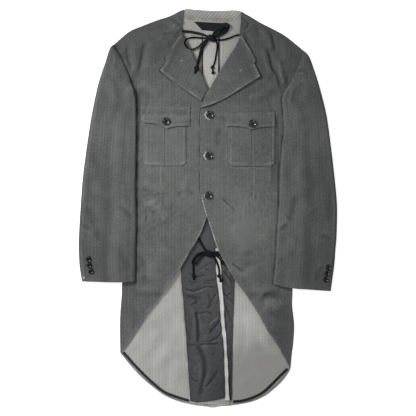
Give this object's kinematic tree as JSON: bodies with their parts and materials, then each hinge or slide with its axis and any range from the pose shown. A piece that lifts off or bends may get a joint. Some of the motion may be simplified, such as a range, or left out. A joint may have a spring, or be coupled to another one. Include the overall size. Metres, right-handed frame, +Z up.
{
  "type": "cutaway tailcoat jacket",
  "caption": "Long-sleeved cutaway tailcoat jacket laid flat: notched lapels, flapped chest pockets, buttoned front, bare neck label and tails with a centre vent.",
  "frame": {"origin": "centre of the outline, on the surface that the jacket lies on", "axes": "+Z up, away from the surface; +Y towards the neck; the wearer's right half lies at -X"},
  "size_m": [0.6584, 1.0138, 0.0128],
  "materials": {
    "face_cloth": "matt grey cotton with fine lengthwise stripes",
    "sleeve_cloth": "matt grey cotton with fine lengthwise stripes",
    "reverse_cloth": "light reverse of the same cloth, matt",
    "dark_lining": "plain thin cloth, slightly crinkled",
    "ribbon": "black grosgrain ribbon",
    "label": "black woven, bare",
    "size_tab": "off-white woven, bare",
    "button": "dark polished"
  },
  "bodies": {
    "root": {"front_right": "face_cloth", "front_left": "face_cloth", "collar_right": "face_cloth", "collar_left": "face_cloth", "lapel_right": "face_cloth", "lapel_left": "face_cloth", "pocket_patch_right": "face_cloth", "pocket_patch_left": "face_cloth", "pocket_flap_right": "face_cloth", "pocket_flap_left": "face_cloth", "top_sleeve_right": "sleeve_cloth", "top_sleeve_left": "sleeve_cloth", "under_sleeve_right": "sleeve_cloth", "under_sleeve_left": "sleeve_cloth", "back_right": "reverse_cloth", "back_left": "reverse_cloth", "collar_stand": "reverse_cloth", "turning_right": "reverse_cloth", "turning_left": "reverse_cloth", "vent_strip": "reverse_cloth", "lining_right": "dark_lining", "lining_left": "dark_lining", "binding_right": "dark_lining", "binding_left": "dark_lining", "hem_tape_right": "dark_lining", "hem_tape_left": "dark_lining", "neck_knot": "ribbon", "neck_tie_right": "ribbon", "neck_loop_right": "ribbon", "neck_tail_right": "ribbon", "neck_tie_left": "ribbon", "neck_loop_left": "ribbon", "neck_tail_left": "ribbon", "vent_knot": "ribbon", "vent_tie_right": "ribbon", "vent_tie_left": "ribbon", "vent_loop_right": "ribbon", "vent_tail_right": "ribbon", "vent_loop_left": "ribbon", "vent_tail_left": "ribbon", "label": "label", "size_tab": "size_tab", "front_button_top": "button", "front_button_middle": "button", "front_button_bottom": "button", "pocket_button_right": "button", "pocket_button_left": "button", "cuff_button_right_1": "button", "cuff_button_right_2": "button", "cuff_button_right_3": "button", "cuff_button_left_1": "button", "cuff_button_left_2": "button", "cuff_button_left_3": "button"}
  },
  "joints": []
}
